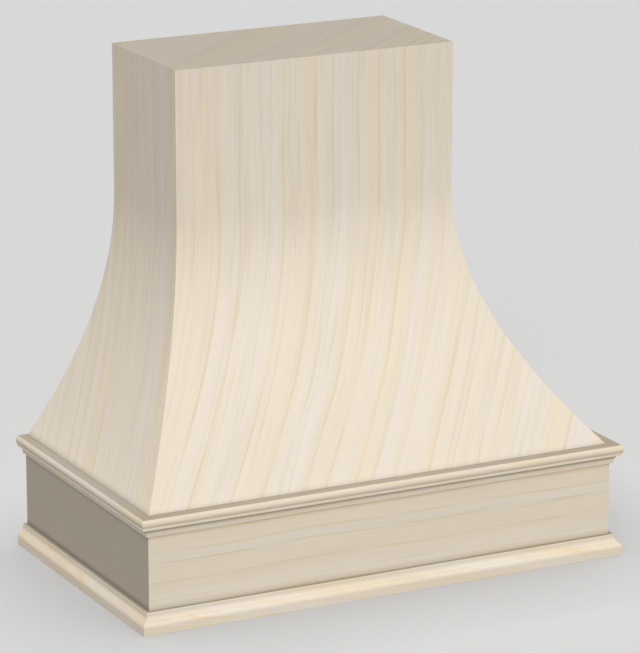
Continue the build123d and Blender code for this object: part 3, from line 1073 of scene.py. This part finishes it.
@dataclass
class WoodScrews(Piece):
    """The countersunk wood screws, one to each of the frame's."""

    head: float = 8.2
    rim: float = 0.3
    rim_from: float = 0.98  # a point further out than this share of the head's radius is on its rim
    head_depth: float = 2.3
    crest: float = 4.2
    root: float = 3.0
    neck: float = 3.7
    pitch: float = 2.8
    plain: float = 10.0
    point: float = 4.0
    drive: float = 2.6
    drive_depth: float = 1.7
    drive_taper: float = 0.9
    drive_lip: float = 0.1
    easing: float = 0.15
    thread_steepness: float = 3.2
    rows_a_turn: int = 4
    sides: int = 16
    smooth_below: float = 35.0
    turn_seed: int = 7
    length: float = 38.1
    ledger_length: float = 31.75

    def screw(self, length: float) -> Mesh:
        """Form one screw with its head's face at the origin and its point downwards.

        Args:
            length: its length.

        Returns:
            The mesh, in metres.
        """
        sides, turns = self.sides, self.rows_a_turn
        angles = [2 * math.pi * i / sides for i in range(sides)]
        circle = [(math.cos(angle), math.sin(angle)) for angle in angles]
        square = [1 / max(abs(x), abs(y)) for x, y in circle]
        level = [1.0] * sides
        # Each ring has a height, a radius and the share of it at each of its points.
        rings = [
            (-self.drive_depth, self.drive / 2 * self.drive_taper, square),
            (-self.drive_lip, self.drive / 2, square),
            (0.0, self.drive / 2 + self.easing, square),
            (0.0, self.head / 2 - self.easing, level),
            (-self.easing, self.head / 2, level),
            (-self.rim, self.head / 2, level),
            (-self.head_depth, self.neck / 2, level),
            (-self.plain, self.neck / 2, level),
        ]
        step = self.pitch / turns
        for row in range(1, int((length - self.point - self.plain) / step) + 1):
            past_crest = [abs((row / turns + i / sides) % 1.0 - 0.5) for i in range(sides)]
            full = min(1, row / turns)
            rises = [full * max(0.0, 1 - past * self.thread_steepness) for past in past_crest]
            thread = [self.root + (self.crest - self.root) * rise for rise in rises]
            rings.append((-self.plain - row * step, 0.5, thread))
        verts = [(0.0, 0.0, -self.drive_depth)]
        for z, radius, shape in rings:
            verts += [(radius * k * x, radius * k * y, z) for (x, y), k in zip(circle, shape)]
        verts.append((0.0, 0.0, -length))
        faces = [(0, 1 + i, 1 + (i + 1) % sides) for i in range(sides)]
        last = 1 + (len(rings) - 1) * sides
        for low in range(1, last, sides):
            for i in range(sides):
                j = (i + 1) % sides
                faces.append((low + i, low + sides + i, low + sides + j, low + j))
        faces += [(last + i, len(verts) - 1, last + (i + 1) % sides) for i in range(sides)]
        mesh = bpy.data.meshes.new("screw_blank")
        mesh.from_pydata(verts, [], faces)
        mesh.transform(Matrix.Scale(MM, 4))
        close_up(mesh, self.smooth_below)
        return mesh

    def places(self, node: str) -> list[tuple[Vector, Vector]]:
        """Find where each screw of a group has its head's face, and which way that looks.

        Args:
            node: the group's node.

        Returns:
            The middle of each head's face, in metres, and the way it looks.
        """
        work = bmesh.new()
        work.from_mesh(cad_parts[node].data)
        bmesh.ops.remove_doubles(work, verts=work.verts, dist=DOUBLES)
        left = set(work.verts)
        found = []
        while left:
            island, queue = [], [left.pop()]
            while queue:
                vert = queue.pop()
                island.append(np.array(vert.co))
                near = {edge.other_vert(vert) for edge in vert.link_edges} & left
                left -= near
                queue += near
            points = np.array(island)
            low, high = points.min(0), points.max(0)
            axis = int(np.argmax(high - low))
            middle = (low + high) / 2
            aside = np.linalg.norm(np.delete(points - middle, axis, 1), axis=1)
            rim = points[aside > self.rim_from * self.head / 2 * MM, axis].mean()
            ahead = rim > middle[axis]
            middle[axis] = high[axis] if ahead else low[axis]
            aim = Vector((0, 0, 0))
            aim[axis] = 1 if ahead else -1
            found.append((Vector(middle), aim))
        work.free()
        return sorted(found, key=lambda pair: tuple(round(c, 5) for c in pair[0]))

    def rule(self) -> Tree:
        """Build the tree that drives a screw at every point, each turned its own way.

        Returns:
            The tree.
        """
        sockets = {"Places": "Geometry", "Screw": "Object", "Turn seed": "Int"}
        tree, given = new_geometry_tree("driven_screws", {**sockets, "Material": "Material"})
        size = given.outputs
        aim = add(tree, "GeometryNodeInputNamedAttribute", ("aim",), data_type="FLOAT_VECTOR")
        facing = add(tree, "FunctionNodeAlignRotationToVector", {"Vector": aim}, axis="Z")
        whole_turn = {2: 0.0, 3: 2 * math.pi, "Seed": size["Turn seed"]}
        turn = add(tree, "FunctionNodeRandomValue", whole_turn, data_type="FLOAT").outputs[1]
        spin = add(tree, "FunctionNodeAxisAngleToRotation", {"Axis": (0, 0, 1), "Angle": turn})
        turned = add(tree, "FunctionNodeRotateRotation", (facing, spin), rotation_space="LOCAL")
        blank = add(tree, "GeometryNodeObjectInfo", {"Object": size["Screw"]}).outputs["Geometry"]
        each = {"Points": size["Places"], "Instance": blank, "Rotation": turned}
        driven = add(tree, "GeometryNodeInstanceOnPoints", each)
        close_tree(tree, driven, size["Material"])
        return tree

    def build(self) -> None:
        """Drive every group of screws."""
        tree = self.rule()
        for group in ("rib", "rail", "block", "ledger"):
            node = group + "_screws"
            length = self.ledger_length if group == "ledger" else self.length
            blank = put(node + "_blank", self.screw(length))
            heads, aims = zip(*self.places(node))
            base = bpy.data.meshes.new(node + "_places")
            base.from_pydata(list(heads), [], [])
            mark(base, "aim", np.array(aims))
            steel = SCREW_STEEL.material()
            values = {"Screw": blank, "Turn seed": self.turn_seed, "Material": steel}
            mesh = grow(node, tree, values, base)
            bpy.data.objects.remove(blank)
            close_up(mesh, self.smooth_below)
            self.hand_over(mesh, node, SCREW_STEEL)


# --- Studio ----------------------------------------------------------------------------------


@dataclass(frozen=True)
class Lamp:
    """A broad lamp: the way to it, its strength, its span in degrees and what it shows in."""

    name: str
    way: tuple[float, float, float]
    strength: float
    spread: float
    shadow: bool = True
    gloss: bool = True
    distance: float = 4.0  # metres from the cover's foot

    def hang(self) -> None:
        """Hang the lamp."""
        light = bpy.data.lights.new(self.name, "SUN")
        light.energy = self.strength
        light.angle = math.radians(self.spread)
        light.use_shadow = self.shadow
        hung = put(self.name, light)
        hung.rotation_euler = Vector(self.way).to_track_quat("Z", "Y").to_euler()
        hung.location = self.distance * Vector(self.way)
        hung.visible_glossy = self.gloss


@dataclass
class Studio:
    """A plain pale floor, soft light from the front left and the camera of the photograph."""

    floor_half: float = 30.0
    floor_colour: str = "#E4E4E2"
    background: str = "#E9EAEB"
    backdrop: str = "#DCDCDB"
    camera_place: tuple[float, float, float] = (-3.11931, -6.39695, 2.35891)
    camera_azimuth: float = -27.0228
    camera_fall: float = 15.749
    camera_sight: float = 200.0
    focal_pixels: float = 3983.67
    sensor: float = 36.0
    floor_bounce: str = "#5A5856"
    floor_lift: float = 0.35
    contact_shadow_reach: float = 0.3
    ambient: float = 0.08
    lamps: tuple[Lamp, ...] = (
        Lamp("key", (-0.456, -0.684, 0.560), 0.55, 22.0),
        Lamp("soft_key", (-0.456, -0.684, 0.560), 3.31, 60.0, shadow=False, gloss=False),
        Lamp("fill", (0.75, 0.66, 0.0), 2.3, 10.0, gloss=False),
        Lamp("under", (0.0, 0.0, -1.0), 0.8, 10.0, gloss=False),
    )

    @staticmethod
    def seen(tree: Tree) -> Node:
        """Give one for a ray that is seen, also by way of metal or glass, and zero for light.

        Args:
            tree: the tree that asks.

        Returns:
            The node that gives that number.
        """
        ray = add(tree, "ShaderNodeLightPath").outputs
        direct = add(tree, MATH, (ray["Is Camera Ray"], ray["Is Glossy Ray"]), operation="MAXIMUM")
        return add(tree, MATH, (direct, ray["Is Transmission Ray"]), operation="MAXIMUM")

    def floor(self) -> None:
        """Lay the floor: it keeps the cover's shadow and a painted contact shadow, is pale from
        above and clear from below.
        """
        material, tree = new_material("pale_floor")
        # The lamp without shadow lights the floor right up to the cover, so a contact shadow is
        # painted into its colour there.
        painted_contact_shadow = {"Color": linear(self.floor_colour), "Distance": self.contact_shadow_reach}
        near = add(tree, "ShaderNodeAmbientOcclusion", painted_contact_shadow, samples=AO_SAMPLES)
        paint = add(tree, "ShaderNodeBsdfPrincipled", {"Base Color": near, "Roughness": 0.9})
        glow = add(tree, "ShaderNodeEmission", {"Color": linear(self.background), "Strength": 1.0})
        pale = add(tree, "ShaderNodeMixShader", (self.floor_lift, paint, glow))
        dim = add(tree, "ShaderNodeBsdfDiffuse", {"Color": linear(self.floor_bounce)})
        both = add(tree, "ShaderNodeMixShader", (self.seen(tree), dim, pale))
        below = add(tree, "ShaderNodeNewGeometry").outputs["Backfacing"]
        clear = add(tree, "ShaderNodeBsdfTransparent")
        sheer = add(tree, "ShaderNodeMixShader", (below, both, clear))
        add(tree, "ShaderNodeOutputMaterial", {"Surface": sheer})
        mesh = bpy.data.meshes.new("floor")
        corners = ((-1, -1), (1, -1), (1, 1), (-1, 1))
        reach = self.floor_half
        mesh.from_pydata([(reach * x, reach * y, 0) for x, y in corners], [], [(0, 1, 2, 3)])
        mesh.materials.append(material)
        floor = put("floor", mesh)
        floor.visible_shadow = False  # nothing lies under it, and it would count as an inner corner

    def world(self) -> None:
        """Surround the scene with weak even light, shown as a pale backdrop to the camera."""
        world = bpy.data.worlds.new("studio")
        world.use_nodes = True
        tree = world.node_tree
        tree.nodes.clear()
        light = add(tree, "ShaderNodeBackground", {"Color": (1, 1, 1, 1), "Strength": self.ambient})
        view = add(tree, "ShaderNodeBackground", {"Color": linear(self.backdrop), "Strength": 1.0})
        both = add(tree, "ShaderNodeMixShader", (self.seen(tree), light, view))
        add(tree, "ShaderNodeOutputWorld", {"Surface": both})
        bpy.context.scene.world = world

    def camera(self) -> None:
        """Set up the camera that the photograph's edges and corners give."""
        data = bpy.data.cameras.new("camera")
        data.sensor_width = self.sensor
        data.lens = self.focal_pixels / max(IMAGE_WIDTH, IMAGE_HEIGHT) * self.sensor
        data.clip_end = self.camera_sight
        camera = put("camera", data)
        camera.location = self.camera_place
        turn = math.radians(90 - self.camera_fall), 0, math.radians(self.camera_azimuth)
        camera.rotation_euler = Euler(turn)
        bpy.context.scene.camera = camera

    def build(self) -> None:
        """Set up floor, backdrop, lamps, camera and view transform."""
        self.floor()
        self.world()
        for lamp in self.lamps:
            lamp.hang()
        self.camera()
        bpy.context.scene.view_settings.view_transform = "Standard"


def main() -> None:
    """Build the cover from its sub-assemblies and light it."""
    logging.basicConfig(level=logging.INFO, format="%(name)s: %(message)s")
    for part in (FlaredBody(), Mouldings(), Boards(), WoodScrews(), Studio()):
        LOG.info("building %s", type(part).__name__)
        part.build()


if __name__ == "__main__":
    main()
